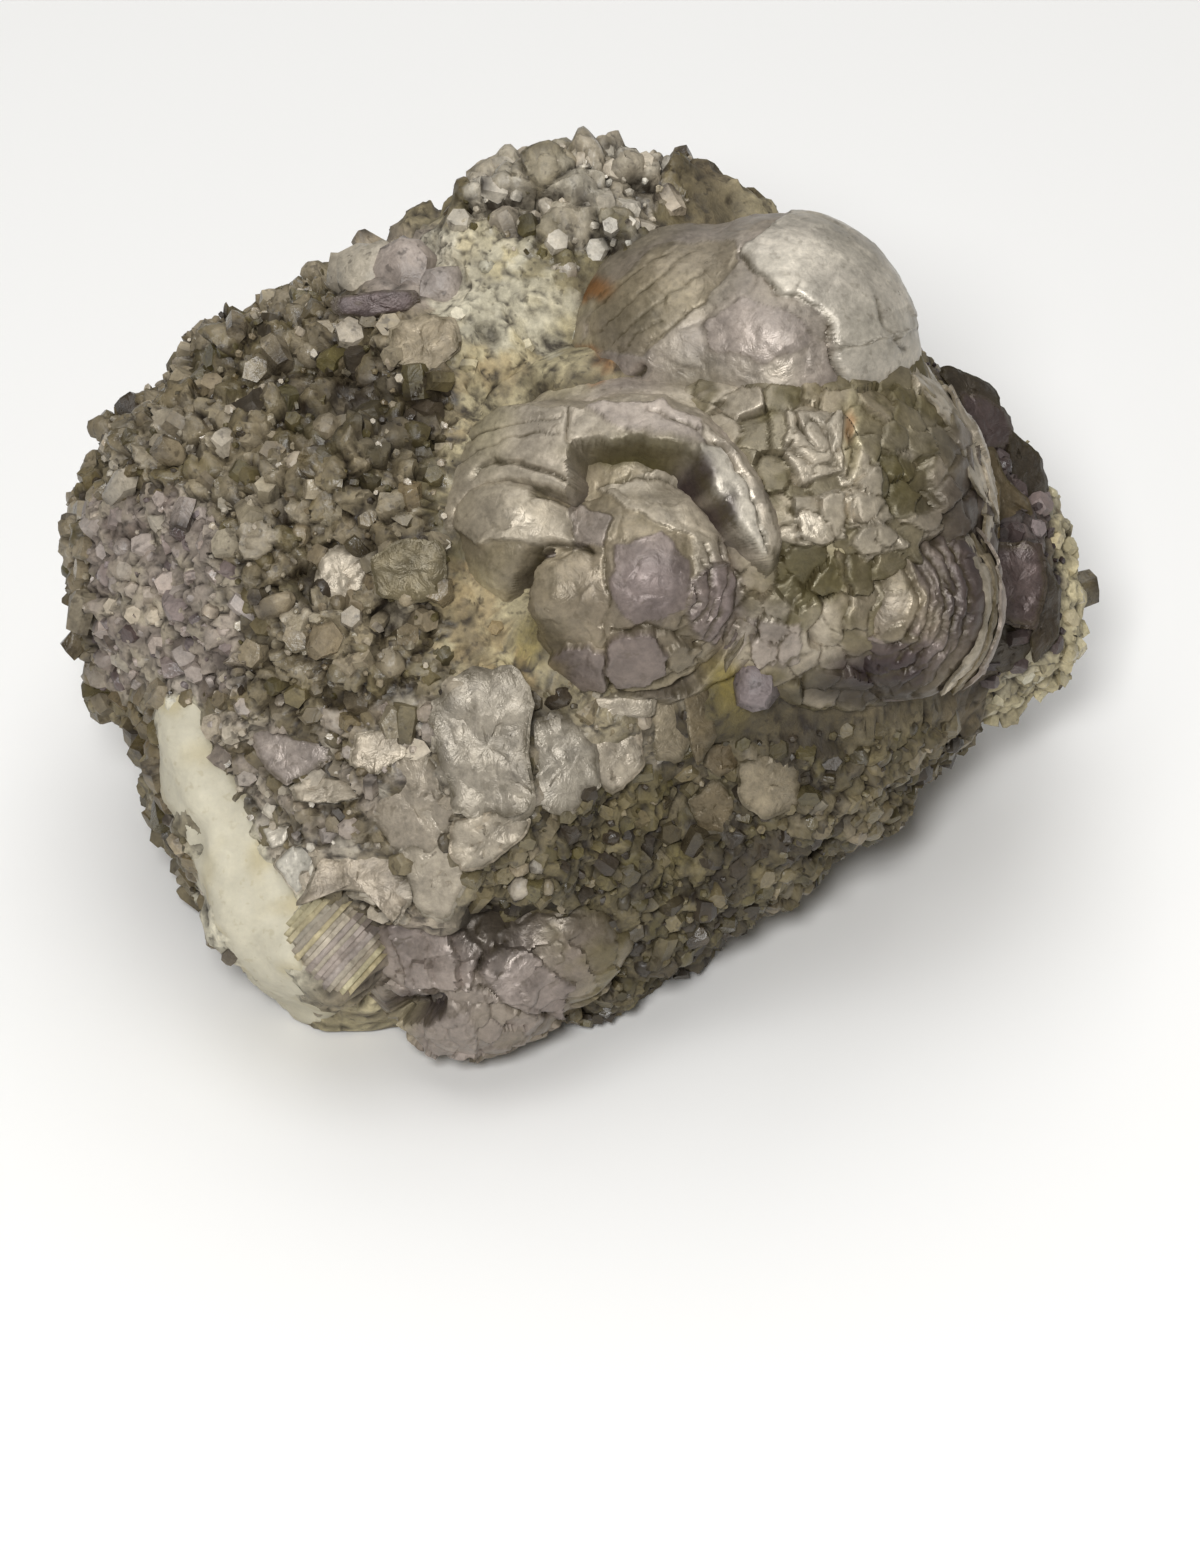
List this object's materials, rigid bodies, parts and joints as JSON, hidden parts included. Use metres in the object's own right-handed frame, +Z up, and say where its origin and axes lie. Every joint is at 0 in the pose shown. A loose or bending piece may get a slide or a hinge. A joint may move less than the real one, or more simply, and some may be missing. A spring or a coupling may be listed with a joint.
{
  "type": "lepidolite mica specimen",
  "caption": "Fist-sized loose specimen of lepidolite mica: a boulder of packed grains with botryoidal domes, plates and a pale feldspar seam, resting on a flat broken face.",
  "frame": {"origin": "middle of the stone's box, on the flat broken face it rests on", "axes": "+Z up from the resting face, +X across to the side of the dark slab, -Y towards the side with the domes"},
  "size_m": [0.1196, 0.1042, 0.0898],
  "materials": {
    "mica": "pearly lilac-grey and olive-brown mica with cream feldspar, satin to glittering"
  },
  "bodies": {
    "root": {"mica_crystal": "mica"}
  },
  "joints": []
}
